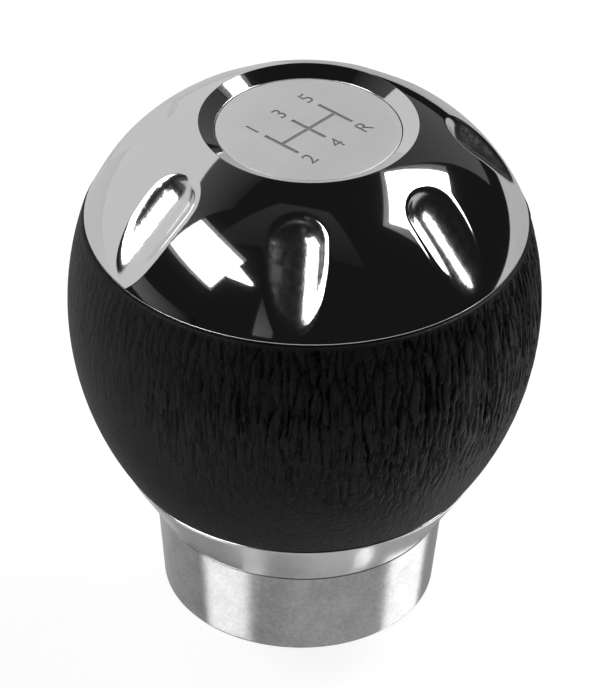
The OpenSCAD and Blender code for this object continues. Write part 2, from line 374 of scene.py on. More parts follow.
def outline(corners):
    """The corners with each one rounded by its third value, as (radius, height, normal) rows."""
    rows = []
    count = len(corners)
    for i, (r, z, fillet) in enumerate(corners):
        here = Vector((r, z))
        into = (here - Vector(corners[i - 1][:2])).normalized()
        out = (Vector(corners[(i + 1) % count][:2]) - here).normalized()
        faces = [Vector((d.y, -d.x)) for d in (into, out)]
        turn = into.angle_signed(out, 0.0)
        if fillet <= 0 or abs(turn) < 0.02:
            rows.append((here, (faces[0] + faces[1]).normalized()))
            continue
        reach = fillet * math.tan(abs(turn) / 2)
        for k in range(ROUNDING_STEPS + 1):
            share = k / ROUNDING_STEPS
            angle = abs(turn) * share
            along = fillet * math.sin(angle)
            aside = fillet * (1 - math.cos(angle))
            side = Vector((-into.y, into.x)) * (-1 if turn > 0 else 1)
            point = here - into * reach + into * along + side * aside
            facing = math.atan2(*faces[0].yx) - turn * share
            rows.append((point, Vector((math.cos(facing), math.sin(facing)))))
    return rows


def spin_outline(name, rows, steps, material):
    """Spins an outline through one sector, repeats that round the lever's axis and welds the sectors."""
    mesh = bmesh.new()
    across = mesh.verts.layers.float.new("across")
    upward = mesh.verts.layers.float.new("upward")
    verts = []
    for point, normal in rows:
        vert = mesh.verts.new((point.x, 0, point.y))
        vert[across], vert[upward] = normal
        verts.append(vert)
    edges = [mesh.edges.new(pair) for pair in zip(verts, verts[1:] + verts[:1])]
    sectors = math.gcd(steps, MOST_SECTORS)
    turn = 2 * math.pi / sectors
    bmesh.ops.spin(mesh, geom=verts + edges, cent=(0, 0, 0), axis=(0, 0, 1), dvec=(0, 0, 0),
                   angle=turn, steps=steps // sectors, use_merge=False, use_duplicate=False)
    sector = mesh.verts[:] + mesh.edges[:] + mesh.faces[:]
    for i in range(1, sectors):
        copy = bmesh.ops.duplicate(mesh, geom=sector)["geom"]
        copied = [item for item in copy if isinstance(item, bmesh.types.BMVert)]
        bmesh.ops.rotate(mesh, verts=copied, cent=(0, 0, 0), matrix=Matrix.Rotation(turn * i, 3, "Z"))
    bmesh.ops.remove_doubles(mesh, verts=mesh.verts[:], dist=WELD)
    bmesh.ops.recalc_face_normals(mesh, faces=mesh.faces[:])
    for face in mesh.faces:
        face.smooth = True
    return new_object(name, mesh, material)


def read_points(data, kind="co"):
    """The mesh's points, or their normals, as rows of three."""
    values = np.empty(len(data.vertices) * 3)
    data.vertices.foreach_get(kind, values)
    return values.reshape(-1, 3)


def from_axis(points):
    return np.hypot(points[:, 0], points[:, 1])


def round_axis(points):
    return np.arctan2(points[:, 1], points[:, 0])


def turned_normals(data, points):
    """The outline's own normals, turned to each vertex's place round the axis."""
    across, upward = np.empty(len(points)), np.empty(len(points))
    data.attributes["across"].data.foreach_get("value", across)
    data.attributes["upward"].data.foreach_get("value", upward)
    radius = np.maximum(from_axis(points), 1e-9)
    around = points[:, :2] / radius[:, None] * across[:, None]
    normals = np.column_stack([around, upward])
    return normals / np.linalg.norm(normals, axis=1, keepdims=True)


def drop_outline_values(data):
    """Takes the outline's normals off a mesh that no longer needs them."""
    for name in ("across", "upward"):
        data.attributes.remove(data.attributes[name])


def write_shape(data, points, normals):
    """Puts moved points and their normals into the mesh."""
    data.vertices.foreach_set("co", points.ravel())
    data.update()
    data.normals_split_custom_set_from_vertices([tuple(n) for n in normals])
    drop_outline_values(data)


def set_on(piece, body, node):
    """The piece stands for a node of the frame and moves with its body, and the node itself is hidden."""
    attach(piece, body)
    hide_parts(node)
    print(piece.name, "has", sum(len(face.vertices) - 2 for face in piece.data.polygons), "triangles")


# %% [markdown]
# Sizes from the frame
#
# The outlines below start from the boxes of the frame's own pieces, so that each stays where the
# construction has it. Only the curves between those levels are values of this file.

# %% Sizes from the frame
def half_width(node):
    """Radius of a round node, to the nearest hundredth of a millimetre."""
    low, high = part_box(node)
    return round((high[0] - low[0]) / 2 / MM, 2) * MM


def foot(node):
    return round(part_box(node)[0][2] / MM, 2) * MM


def head(node):
    return round(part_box(node)[1][2] / MM, 2) * MM


GRIP_RADIUS = half_width("leather_cover")
RING_TOP = head("trim_ring")
RIM_HEIGHT = head("leather_cover")
TOP = head("chrome_cap")
RIM_RADIUS = half_width("chrome_cap")
LIP_RADIUS = half_width("trim_ring")
COLLAR_TOP = head("collar")
COLLAR_RADIUS = half_width("collar")
print("grip", GRIP_RADIUS, "rim", RIM_RADIUS, "lip", LIP_RADIUS, "top", TOP)

# %% [markdown]
# Chrome
#
# Bright chrome plate is a mirror with a slightly cool grey and almost no roughness. Where the die could not
# be polished, inside the flutes, its surface keeps a faint orange peel.

# %% Chrome finish
def chrome_finish():
    graph = Graph("mirror_chrome", base_color=(0.83, 0.83, 0.845, 1), metallic=1.0)
    flute = graph.attribute("flute")
    broad = graph.noise(graph.place(), 1300, detail=2.0)
    fine = graph.noise(graph.place(), 4200, detail=2.0)
    peel = broad * 0.6 + fine * 0.5
    graph.fill(graph.shader, {"Roughness": flute * peel * 0.22 + 0.05,
                              "Normal": graph.bump(peel * flute, 0.000016)})
    return graph.material


# %% [markdown]
# The cap
#
# The cap is a die-cast dome with seven scoops, made on the real pattern by sinking a ball-nosed cutter
# along a slanting line. A boolean would leave the lips ragged and razor sharp. Here the dome is spun
# densely instead, and each of its points slides inwards until it lies on the cutter's face. Where dome and
# cutter meet, a smooth maximum of the two distances rounds the lip, and its gradient gives the exact
# normal, so the reflections stay clean.

# %% The cap's sizes
DOME_ARC = 21.3 * MM
BEVEL_WIDTH = 1.65 * MM
BEVEL_DEPTH = 0.85 * MM
DISC_RADIUS = half_width("badge_disc")
DISC_GAP = 0.1 * MM
CAP_WALL = 2.0 * MM
FLUTES = 7
FLUTE_RADIUS = 4.1 * MM
FLUTE_SLOPE = math.radians(42.5)
FLUTE_INSET = 4.5 * MM
FLUTE_DROP = 1.35 * MM
FLUTE_LIP = 0.5 * MM
CAP_STEPS = 700
CROWDING = 0.30
HALVINGS = 28
SPIGOT_REACH = 2.8 * MM
SPIGOT_INSET = 2.5 * MM
SPIGOT_WALL = 1.8 * MM

mouth_radius = DISC_RADIUS + DISC_GAP + BEVEL_WIDTH
dome_centre = arc_centre((RIM_RADIUS, RIM_HEIGHT), (mouth_radius, TOP), DOME_ARC)
disc_top = TOP - BEVEL_DEPTH
print("dome centre", [round(v / MM, 2) for v in dome_centre], "mouth radius", round(mouth_radius / MM, 2))


# %% The cap's outline
def cap_outline():
    """Half section of the cap: dome, bevel, disc pocket, screw boss, hollow, spigot and rim."""
    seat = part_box("spring_washer")[0][2]
    head_radius = half_width("cap_screw") + 0.2 * MM
    shank_radius = 2.7 * MM
    boss_radius = 6.5 * MM
    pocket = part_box("badge_pad")[0][2]
    foot_height = head("core") - SPIGOT_REACH
    spigot_radius = RIM_RADIUS - SPIGOT_INSET
    bore_radius = spigot_radius - SPIGOT_WALL
    inner_arc = DOME_ARC - CAP_WALL
    ceiling = pocket - CAP_WALL
    spring = dome_centre.y + math.sqrt(inner_arc ** 2 - (bore_radius - dome_centre.x) ** 2)
    crown = dome_centre.x + math.sqrt(inner_arc ** 2 - (ceiling - dome_centre.y) ** 2)
    rim, mouth = (RIM_RADIUS, RIM_HEIGHT), (mouth_radius, TOP)
    corners = [(spigot_radius, RIM_HEIGHT, 0), (*rim, 0.28 * MM)]
    corners += arc_points(dome_centre, rim, mouth, 0.17 * MM, ends=0.35 * MM)
    corners += [
        (*mouth, 0.14 * MM),
        (DISC_RADIUS + DISC_GAP, disc_top, 0.1 * MM),
        (DISC_RADIUS + DISC_GAP, pocket, 0),
        (head_radius, pocket, 0),
        (head_radius, seat, 0),
        (shank_radius, seat, 0),
        (shank_radius, foot_height, 0),
        (boss_radius, foot_height, 0),
        (boss_radius, ceiling, 0),
    ]
    corners += arc_points(dome_centre, (crown, ceiling), (bore_radius, spring), 1.0 * MM)
    corners += [(bore_radius, foot_height, 0), (spigot_radius, foot_height, 0)]
    return outline(corners)


# %% Flutes
def cutter_distance(points, turn, radius):
    """How far each point lies outside the ball-nosed cutter at an angle, and the way to the cutter's axis."""
    start = np.array([RIM_RADIUS - FLUTE_INSET, 0, TOP - FLUTE_DROP])
    along = np.array([math.cos(FLUTE_SLOPE), 0, -math.sin(FLUTE_SLOPE)])
    spin = np.array([[math.cos(turn), -math.sin(turn), 0], [math.sin(turn), math.cos(turn), 0], [0, 0, 1]])
    start, along = spin @ start, spin @ along
    offset = points - start
    share = np.maximum(offset @ along, 0)[:, None]
    to_axis = start + share * along - points
    length = np.linalg.norm(to_axis, axis=1)
    return length - radius, to_axis / length[:, None]


def nearest_cutter(points, radius):
    """The distance and the way to the nearest of the cutter's seven places."""
    best = np.full(len(points), 1.0)
    way = np.zeros_like(points)
    for i in range(FLUTES):
        gap, towards = cutter_distance(points, -math.pi / 2 + 2 * math.pi * i / FLUTES, radius)
        closer = gap < best
        best[closer] = gap[closer]
        way[closer] = towards[closer]
    return best, way


def carve(points, normals, radius):
    """Slides points inwards along their normals onto the cutter, with a rounded lip."""
    low = np.zeros(len(points))
    high = np.full(len(points), 2 * FLUTE_RADIUS)
    for _ in range(HALVINGS):
        middle = (low + high) / 2
        gap = nearest_cutter(points - normals * middle[:, None], radius)[0]
        blend = np.maximum(FLUTE_LIP - np.abs(-middle + gap), 0) / FLUTE_LIP
        outside = np.maximum(-middle, -gap) + FLUTE_LIP / 4 * blend ** 2
        low = np.where(outside > 0, middle, low)
        high = np.where(outside > 0, high, middle)
    depth = (low + high) / 2
    depth[depth < 1e-7] = 0
    moved = points - normals * depth[:, None]
    gap, way = nearest_cutter(moved, radius)
    blend = np.maximum(FLUTE_LIP - np.abs(-depth + gap), 0) / FLUTE_LIP
    weight = np.where(-gap > -depth, 1 - blend / 2, blend / 2)[:, None]
    faced = normals * (1 - weight) + way * weight
    return moved, faced / np.linalg.norm(faced, axis=1, keepdims=True), weight[:, 0]


# %% The cap's mesh
def crowd_towards_flutes(points):
    """Turns points a little round the axis, so that they stand closer in the flutes than on the lands."""
    angle = round_axis(points) + math.pi / 2
    turned = angle - CROWDING / FLUTES * np.sin(FLUTES * angle) - math.pi / 2
    radius = from_axis(points)
    return np.stack([radius * np.cos(turned), radius * np.sin(turned), points[:, 2]], axis=1)


def make_cap():
    piece = spin_outline("cap", cap_outline(), CAP_STEPS, chrome_finish())
    data = piece.data
    points = crowd_towards_flutes(read_points(data))
    normals = turned_normals(data, points)
    radial = from_axis(points)
    from_centre = np.hypot(radial - dome_centre.x, points[:, 2] - dome_centre.y)
    facing_out = normals[:, 2] > 0.1
    outer = facing_out & (np.abs(from_centre - DOME_ARC) < ON_FACE)
    inner = ~facing_out & (np.abs(from_centre - DOME_ARC + CAP_WALL) < ON_FACE)
    flute = np.zeros(len(points))
    points[outer], normals[outer], flute[outer] = carve(points[outer], normals[outer], FLUTE_RADIUS)
    moved, faced, _ = carve(points[inner], -normals[inner], FLUTE_RADIUS + CAP_WALL)
    points[inner], normals[inner] = moved, -faced
    write_shape(data, points, normals)
    set_values(data, "flute", flute)
    print("carved", int((flute > 0.5).sum()), "points of", int(outer.sum()))
    set_on(piece, "knob", "chrome_cap")


make_cap()

# %% [markdown]
# Black leather
#
# The cover is thin garment leather, dyed black and finished with a low sheen. Up close it shows pores a
# third of a millimetre apart and soft clouds in the dye. They are a bump and a slight change of tone here,
# while the creases that one can feel are in the mesh. The mesh hands them over as an attribute, and the
# colour there carries painted shade: it is darkest in them, and a near-black matt surface is mixed in where
# a crease or one of the fine upright lines runs, as painted shade for the folds.

# %% Leather finish
def fine_lines(graph):
    """Thin wavy lines that run up and down, the contour of a stretched noise: 1 in a line, 0 beside it."""
    upright = graph.stretched((1, 1, 0.2))
    height = graph.noise(upright, 800, detail=2.5, roughness=0.6)
    return 1 - (height - 0.5).math("ABSOLUTE").ramp(0.0, 0.055)


def leather_finish():
    graph = Graph("black_leather")
    place = graph.place()
    crease = graph.attribute("crease")
    loose = graph.attribute("loose")
    lines = fine_lines(graph) * loose
    cloud = graph.noise(place, 150, detail=3.0)
    pores = graph.cells(place, 3300).ramp(0.0, 0.6)
    grain = graph.noise(place, 1500, detail=4.0, roughness=0.6)
    # Tone of the dye's clouds and grain, with painted shade darkening it in the creases and along the fine
    # lines.
    tone = (cloud.ramp(0.3, 0.7) * 0.6 + grain * 0.4) * (1 - crease) * (1 - lines * 0.6)
    colour = graph.tint(tone, (0.0016, 0.0015, 0.0016), (0.0085, 0.0081, 0.0084))
    relief = pores * 0.3 + grain * 0.8 + cloud * 0.5 - lines * 1.6
    values = {"Base Color": colour, "Roughness": grain * 0.16 + 0.42 + crease * 0.1,
              "Normal": graph.bump(relief, 0.00009), "Specular IOR Level": 0.22}
    graph.fill(graph.shader, values)
    # Painted shade: a near-black matt surface is mixed in along the creases and fine lines, for the shade
    # that falls into the folds.
    dull = graph.add("ShaderNodeBsdfDiffuse", None, {"Color": (0.001, 0.001, 0.001, 1)})
    painted_crease_shade = (crease * 0.9 + lines * 0.4).clamp()
    graph.show(graph.add("ShaderNodeMixShader", None,
                         {0: painted_crease_shade, 1: graph.shader.outputs[0], 2: dull.outputs[0]}))
    return graph.material


# %% [markdown]
# The leather cover
#
# The leather is stretched over a round core and turned in at both ends. The same length has to fit a
# smaller and smaller circle there, so the skin gathers into fine creases that run up and down, deep under
# the cap, shorter and finer further down. They form a net of long cells. The mesh gets that net: staggered
# rows of points, each moved a little at random and squeezed in height so that their cells come out long,
# and a groove wherever a point of the mesh is as near to one as to another, deepest where that border runs
# up and down. A soft noise bends the net, and it fades towards the side where the hide is stretched
# tightest, as on a real cover. The hide's two ends meet in one seam at the back.

# %% The leather's sizes
LEATHER = 1.2 * MM
GRIP_ARC = 34.0 * MM
BELLY = RING_TOP + 18.9 * MM
HEAD_FOLD = 2.4 * MM
FOOT_FOLD = 3.7 * MM
CREASE_GAP = 0.7 * MM
CREASE_DEPTH = 0.36 * MM
CREASE_WIDTH = 0.24 * MM
CREASE_JITTER = 0.48
CREASE_SEED = 11
UPRIGHT_ONLY = 2
BENDS = ((0.45, 2.4 * MM, 0.55 * MM), (0.6, 0.9 * MM, 0.16 * MM))
BEND_IN_HEIGHT = 0.4
PATCH = 5 * MM
LEATHER_STEPS = 900
LOOSE_ANGLE = math.radians(-90)
SEAM_ANGLE = math.radians(90)
SEAM_DEPTH = 0.16 * MM
SEAM_WIDTH = 0.2 * MM
grip_centre = Vector((GRIP_RADIUS - GRIP_ARC, BELLY))


def grip_radius(height, inset=0.0):
    """Radius of the leather's face at a height, or of a face set in from it."""
    return grip_centre.x + math.sqrt((GRIP_ARC - inset) ** 2 - (height - BELLY) ** 2)


def leather_outline():
    """Half section of the sleeve: outer face, both turned edges and the inner face on the core."""
    inner_foot = grip_radius(RING_TOP) - FOOT_FOLD
    inner_head = grip_radius(RIM_HEIGHT) - HEAD_FOLD
    low_outer = (grip_radius(RING_TOP), RING_TOP)
    high_outer = (grip_radius(RIM_HEIGHT), RIM_HEIGHT)
    floor, ceiling = RING_TOP + LEATHER, RIM_HEIGHT - LEATHER
    low_inner = (grip_radius(floor, LEATHER), floor)
    high_inner = (grip_radius(ceiling, LEATHER), ceiling)
    corners = [(inner_foot, RING_TOP, 0.2 * MM), (*low_outer, 0.5 * MM)]
    corners += arc_points(grip_centre, low_outer, high_outer, 0.42 * MM, ends=0.6 * MM)
    corners += [(*high_outer, 0.5 * MM), (inner_head, RIM_HEIGHT, 0.2 * MM), (inner_head, ceiling, 0)]
    corners += arc_points(grip_centre, high_inner, low_inner, 3.0 * MM)
    corners += [(inner_foot, floor, 0)]
    return outline(corners)


print("leather from", round(RING_TOP / MM, 1), "to", round(RIM_HEIGHT / MM, 1), "mm up")


# %% Creases
def squeezed(height):
    """Height in the space of the net: squeezed most at the top, so that the cells are longest there."""
    share = (height - RING_TOP) / (RIM_HEIGHT - RING_TOP)
    return (RIM_HEIGHT - RING_TOP) * (0.36 * share - 0.14 * share ** 2)


def crease_seeds():
    """The middles of the net's cells, in staggered rows round the leather, each moved a little at random."""
    rng = np.random.default_rng(CREASE_SEED)
    heights = np.linspace(RING_TOP, RIM_HEIGHT, 200)
    columns = round(2 * math.pi * GRIP_RADIUS / CREASE_GAP)
    rows = math.ceil(squeezed(RIM_HEIGHT) / CREASE_GAP) + 1
    tree = KDTree(columns * rows)
    for i in range(columns * rows):
        row, column = divmod(i, columns)
        aside, along = rng.uniform(-CREASE_JITTER, CREASE_JITTER, 2)
        angle = 2 * math.pi * (column + row % 2 / 2 + aside) / columns
        level = (row + along) * CREASE_GAP
        radius = grip_radius(np.interp(level, squeezed(heights), heights))
        tree.insert((radius * math.cos(angle), radius * math.sin(angle), level), i)
    tree.balance()
    return tree


def crease_net(points):
    """For each point, how far the border between two cells of the net is, and how upright it is."""
    tree = crease_seeds()
    noise.seed_set(CREASE_SEED)
    gaps, upright = np.empty(len(points)), np.empty(len(points))
    for i, (x, y, z) in enumerate(points):
        bend = Vector((0, 0, 0))
        for squash, size, reach in BENDS:
            bend += noise.noise_vector(Vector((x, y, z * squash)) / size) * reach
        near, far = tree.find_n((x + bend.x, y + bend.y, squeezed(z) + bend.z * BEND_IN_HEIGHT), 2)
        across = far[0] - near[0]
        gaps[i] = far[2] - near[2]
        upright[i] = 1 - (across.z / across.length) ** 2
    return gaps, upright


def patches(points, size):
    """A soft noise from 0 to 1 with patches of the given size."""
    return np.array([0.5 + 0.5 * noise.noise(Vector(p) / size) for p in points])


def smooth_step(low, high, values):
    share = np.clip((values - low) / (high - low), 0, 1)
    return share * share * (3 - 2 * share)


def crease_strength(points):
    """How deep the creases are: deepest under the cap, and further down where the hide is loose."""
    angle = round_axis(points)
    share = (points[:, 2] - RING_TOP) / (RIM_HEIGHT - RING_TOP)
    slack = 0.5 + 0.5 * np.cos(angle - LOOSE_ANGLE)
    deep = 0.15 + 0.85 * smooth_step(0.3, 0.85, slack)
    up = 0.14 + 0.86 * smooth_step(0.5 - 0.4 * slack, 0.98 - 0.3 * slack, share)
    ends = smooth_step(0.0, 0.05, share) * smooth_step(0.0, 0.02, 1 - share)
    return up * ends * deep * (0.75 + 0.4 * smooth_step(0.3, 0.7, patches(points, PATCH)))


# %% The leather's mesh
def make_leather():
    piece = spin_outline("leather", leather_outline(), LEATHER_STEPS, leather_finish())
    data = piece.data
    points = read_points(data)
    normals = turned_normals(data, points)
    radial = from_axis(points)
    from_centre = np.hypot(radial - grip_centre.x, points[:, 2] - grip_centre.y)
    sideways = normals[:, 0] ** 2 + normals[:, 1] ** 2 > 0.25
    face = (np.abs(from_centre - GRIP_ARC) < 2 * ON_FACE) & sideways
    outer = points[face]
    gaps, upright = crease_net(outer)
    valley = np.exp(-gaps / CREASE_WIDTH) * upright ** UPRIGHT_ONLY
    strength = crease_strength(outer)
    across = (round_axis(outer) - SEAM_ANGLE) * GRIP_RADIUS
    seam = np.exp(-(across / SEAM_WIDTH) ** 2)
    sink = CREASE_DEPTH * strength * valley + SEAM_DEPTH * seam
    points[face] = outer - normals[face] * sink[:, None]
    data.vertices.foreach_set("co", points.ravel())
    crease, loose = np.zeros(len(points)), np.zeros(len(points))
    # The crease values carry painted shade: the leather's finish darkens its colour along them. The seam's
    # groove is added to them as a dark joint.
    crease[face] = np.clip(strength * valley ** 1.5 + seam, 0, 1)
    loose[face] = strength
    set_values(data, "crease", crease)
    set_values(data, "loose", loose)
    drop_outline_values(data)
    print("deepest crease", round(sink.max() / MM, 3), "mm")
    set_on(piece, "knob", "leather_cover")


make_leather()

# %% [markdown]
# Turned aluminium
#
# The trim ring and the collar are turned from aluminium bar and then blasted and anodised. The lathe leaves
# rings too fine to see one by one, and the blasting leaves a mottle of about half a millimetre, so a window
# mirrored in the metal has soft, slightly grainy edges. Two noises make it: one stretched round the axis,
# one even.

# %% Satin aluminium
def satin_aluminium(name, low, high, rings, mottle):
    """Anodised aluminium between two tones, with the lathe's rings and the blasting's mottle in it."""
    graph = Graph(name, metallic=1.0)
    place = graph.place()
    turned = graph.noise(graph.stretched((30, 30, 9000)), 1.0, detail=3.0, roughness=0.6)
    blasted = graph.noise(place, 2300, detail=3.0, roughness=0.55)
    broad = graph.noise(place, 420, detail=2.0)
    tone = blasted * 0.6 + broad * 0.4
    values = {"Base Color": graph.tint(tone.ramp(0.3, 0.7), low, high),
              "Roughness": blasted * 0.10 + broad * 0.06 + 0.09,
              "Normal": graph.bump(turned * rings + blasted * mottle, 0.00001)}
    graph.fill(graph.shader, values)
    return graph.material


# %% [markdown]
# Thread
#
# The collar screws onto the hub with a 25 mm thread of 1.5 mm pitch, cut right-handed. Five turns bring it
# down far enough to reach the grub screws. Both threads are heights over the angle and the level of a
# point, so the collar's ridges stay in the hub's grooves at every angle when it turns and travels together.

# %% Thread
PITCH = 1.5 * MM
THREAD_DEPTH = 0.8 * MM
THREAD_RUN_IN = 0.5 * MM
THREAD_ROWS = 0.1 * MM


def thread_groove(points, low, high, narrower=0.0):
    """From 0 on a crest of the hub's thread to 1 at its root, faded out at both ends."""
    turn = points[:, 2] / PITCH - round_axis(points) / (2 * math.pi)
    wave = np.abs((turn % 1) * 2 - 1)
    room = np.minimum(points[:, 2] - low, high - points[:, 2])
    return np.clip(wave * 1.3 - 0.15 - narrower, 0, 1) * np.clip(room / THREAD_RUN_IN, 0, 1)


def sink_radially(points, depth):
    radius = from_axis(points)
    points[:, :2] *= ((radius - depth) / radius)[:, None]


def thread_rows(radius, low, high):
    """Corners straight up or down a cylinder, close enough together to carry a thread."""
    count = round(abs(high - low) / THREAD_ROWS)
    return [(radius, low + (high - low) * i / count, 0) for i in range(count + 1)]


def make_turned(name, corners, steps, material, body, node, thread=None):
    """A turned piece with its fillets' own normals, and a thread where one is given."""
    piece = spin_outline(name, outline(corners), steps, material)
    data = piece.data
    points = read_points(data)
    normals = turned_normals(data, points)
    if thread:
        radius, low, high, narrower = thread
        cut = np.abs(from_axis(points) - radius) < ON_FACE
        cut &= (points[:, 2] > low) & (points[:, 2] < high)
        threaded = points[cut]
        sink_radially(threaded, THREAD_DEPTH * thread_groove(threaded, low, high, narrower))
        points[cut] = threaded
        data.vertices.foreach_set("co", points.ravel())
        data.update()
        normals[cut] = read_points(data, "normal")[cut]
    write_shape(data, points, normals)
    set_on(piece, body, node)


print("thread of", PITCH / MM, "mm pitch")

# %% [markdown]
# Trim ring
#
# The flared ring carries the leather's lower edge. Its cone widens from the collar's diameter to the
# leather's, and a narrow rounded land at its top draws a bright line along the leather.

# %% Trim ring
FLANGE_TOP = COLLAR_TOP + 2.0 * MM
WEB_TOP = foot("core")
FLANGE_RADIUS = 14.1 * MM
STEM_RADIUS = 10.0 * MM
LAND = 0.3 * MM
RING_STEPS = 320
core_foot_radius = LIP_RADIUS - FOOT_FOLD

bright = satin_aluminium("turned_aluminium", (0.83, 0.83, 0.84), (0.95, 0.95, 0.96), rings=0.5, mottle=0.5)
make_turned("flared_ring", [
    (STEM_RADIUS + 0.1 * MM, FLANGE_TOP, 0),
    (FLANGE_RADIUS + 0.05 * MM, FLANGE_TOP, 0),
    (FLANGE_RADIUS + 0.05 * MM, COLLAR_TOP, 0.1 * MM),
    (COLLAR_RADIUS, COLLAR_TOP, 0.16 * MM),
    (LIP_RADIUS, RING_TOP - LAND, 0.3 * MM),
    (LIP_RADIUS, RING_TOP, 0.2 * MM),
    (core_foot_radius, RING_TOP, 0.1 * MM),
    (core_foot_radius, WEB_TOP, 0),
    (STEM_RADIUS + 0.1 * MM, WEB_TOP, 0),
], RING_STEPS, bright, "knob", "trim_ring")

# %% [markdown]
# Collar
#
# The collar tapers slightly to its foot, which has a rounded edge and a lip that closes in on the lever.
# Inside are its thread and, at the top, the groove for the rubber ring that keeps it from working loose.

# %% Collar
COLLAR_FOOT_RADIUS = 14.7 * MM
MOUTH_RADIUS = 10.2 * MM
COLLAR_LIP = 1.6 * MM
THREAD_RADIUS = 12.5 * MM
BORE_RADIUS = THREAD_RADIUS + 0.05 * MM
THREAD_START = 2.2 * MM
CREST_GAP = 0.14
groove_floor = COLLAR_TOP - 1.5 * MM

collar_corners = [
    (MOUTH_RADIUS, 0, 0.3 * MM),
    (COLLAR_FOOT_RADIUS, 0, 0.4 * MM),
    (COLLAR_RADIUS, COLLAR_TOP, 0.2 * MM),
    (FLANGE_RADIUS, COLLAR_TOP, 0.1 * MM),
    (FLANGE_RADIUS, groove_floor, 0),
]
collar_corners += thread_rows(BORE_RADIUS, groove_floor, COLLAR_LIP)
collar_corners += [(MOUTH_RADIUS, COLLAR_LIP, 0.2 * MM)]
grey = satin_aluminium("blasted_aluminium", (0.48, 0.48, 0.49), (0.65, 0.65, 0.66), rings=0.15, mottle=1.2)
make_turned("tapered_collar", collar_corners, RING_STEPS, grey, "collar", "collar",
            thread=(BORE_RADIUS, THREAD_START, groove_floor - THREAD_ROWS, CREST_GAP))

# %% [markdown]
# Machined and moulded finishes
#
# The pieces inside are plainer. Steel keeps fine tool marks under its zinc or its black oxide, nylon and
# the core's plastic have a fine, even texture from the mould, and rubber is dull. One helper gives each its
# tone, its gloss and how coarse and deep its texture is.

# %% Plain finishes
def plain_finish(name, colour, roughness, texture, relief, metallic=0.0):
    """A finish of one colour, with a texture of that scale per metre and that relief in metres."""
    graph = Graph(name, metallic=metallic)
    place = graph.place()
    fine = graph.noise(place, texture, detail=3.0)
    broad = graph.noise(place, texture / 8, detail=2.0)
    tone = fine * 0.5 + broad * 0.5
    low, high = [c * 0.82 for c in colour], [min(c * 1.15, 0.95) for c in colour]
    values = {"Base Color": graph.tint(tone, low, high),
              "Roughness": tone * 0.2 + roughness - 0.1,
              "Normal": graph.bump(fine, relief)}
    graph.fill(graph.shader, values)
    return graph.material


def dress(node, material):
    """Gives a piece of the frame its finish."""
    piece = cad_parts[node]
    piece.data.materials.clear()
    piece.data.materials.append(material)
    print(node, "has", material.name)


oxide = plain_finish("black_oxide_steel", (0.05, 0.05, 0.053), 0.42, 1600, 0.000008, metallic=0.85)
zinc = plain_finish("zinc_steel", (0.56, 0.56, 0.57), 0.34, 1400, 0.000006, metallic=1.0)
moulded = plain_finish("moulded_core", (0.06, 0.06, 0.066), 0.55, 1100, 0.00002)
nylon = plain_finish("moulded_nylon", (0.74, 0.71, 0.63), 0.46, 900, 0.000015)
rubber = plain_finish("matt_rubber", (0.022, 0.022, 0.022), 0.75, 1300, 0.00002)
tape = plain_finish("foam_tape", (0.78, 0.78, 0.76), 0.9, 2600, 0.00003)
for number in (1, 2, 3):
    dress("grub_screw_" + str(number), oxide)
dress("cap_screw", oxide)
dress("spring_washer", zinc)
dress("core", moulded)
dress("adaptor_bush", nylon)
dress("seal_ring", rubber)
dress("badge_pad", tape)

# %% [markdown]
# Hub
#
# The hub is the metal insert that holds the knob on the lever. Its neck carries the collar's thread and
# three holes for the grub screws, and its stem sits in the core with two flats against turning. The neck
# shows when the collar is screwed down. The holes are cut last, through the finished thread, as in the
# workshop.

# %% Hub
HUB_FOOT = foot("hub")
STEM_TOP = head("hub")
STEM_FLAT = 9.0 * MM
SOCKET_RADIUS = 7.05 * MM
SOCKET_TOP = STEM_TOP - 6.0 * MM
GRUB_RADIUS = 3.05 * MM
GRUB_HEIGHT = (HUB_FOOT + COLLAR_TOP) / 2
GRUB_ANGLES = (-90, 30, 150)
NECK_MIDDLE = 9.5 * MM
DRILL_LENGTH = 9.0 * MM
SCREW_RADIUS = 2.55 * MM
CHAMFER = 0.6 * MM
THREAD_END = 0.4 * MM
HUB_STEPS = 200


def drill_grub_holes(piece):
    """Three round holes from the socket outwards, cut through the neck."""
    drills = bmesh.new()
    place = Matrix.Translation((NECK_MIDDLE, 0, GRUB_HEIGHT)) @ Matrix.Rotation(math.pi / 2, 4, "Y")
    for angle in GRUB_ANGLES:
        turned = Matrix.Rotation(math.radians(angle), 4, "Z") @ place
        bmesh.ops.create_cone(drills, cap_ends=True, segments=48, radius1=GRUB_RADIUS,
                              radius2=GRUB_RADIUS, depth=DRILL_LENGTH, matrix=turned)
    cut_out(piece, new_object("drills", drills, piece.data.materials[0]))


def finished_mesh(item):
    """The mesh that a curve, or a piece with modifiers, comes to."""
    bpy.context.view_layer.update()
    return bpy.data.meshes.new_from_object(item.evaluated_get(bpy.context.evaluated_depsgraph_get()))


def cut_out(piece, cutter, overlapping=False):
    """Takes a cutter out of a piece. The cutter's own solids may overlap where that is said."""
    cut = piece.modifiers.new("cut", "BOOLEAN")
    cut.operation = "DIFFERENCE"
    cut.solver = "EXACT"
    cut.use_self = overlapping
    cut.object = cutter
    piece.data = finished_mesh(piece)
    piece.modifiers.clear()
    bpy.data.objects.remove(cutter)


